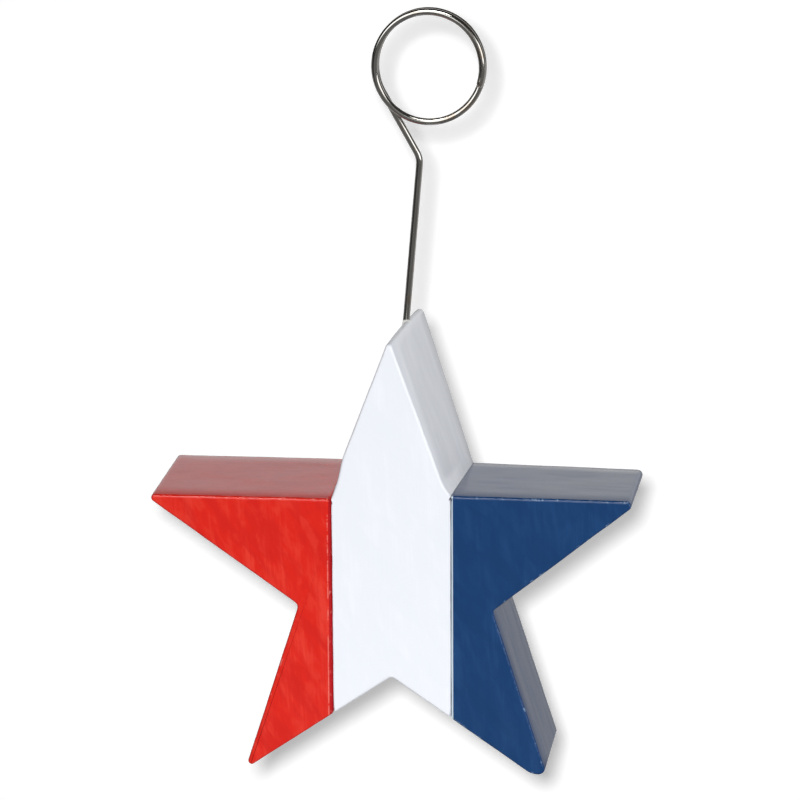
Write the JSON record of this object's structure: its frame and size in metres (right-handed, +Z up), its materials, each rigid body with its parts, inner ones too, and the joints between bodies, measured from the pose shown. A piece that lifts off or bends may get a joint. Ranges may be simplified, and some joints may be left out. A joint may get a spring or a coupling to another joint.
{
  "type": "balloon weight",
  "caption": "Thick pointed star in painted blocks that stands on its lower points, with a bent steel wire clip in the top point ending in a ring that holds balloon ribbons.",
  "frame": {"origin": "on the floor, under the middle of the star, at the centre of the part's bounding box bottom", "axes": "+Z up, -Y towards the front of the star, +X to the right seen from the front"},
  "size_m": [0.1026, 0.0318, 0.1601],
  "materials": {
    "red_paint": "gloss paint brushed over a cast body, with rubbed edges",
    "white_paint": "gloss paint brushed over a cast body",
    "blue_paint": "gloss paint brushed over a cast body, with rubbed edges",
    "set_glue": "drop of set white glue",
    "clip_steel": "drawn bright steel wire"
  },
  "bodies": {
    "root": {"left_block": "red_paint", "centre_block": "white_paint", "right_block": "blue_paint", "glue_collar": "set_glue", "wire_clip": "clip_steel"}
  },
  "joints": []
}
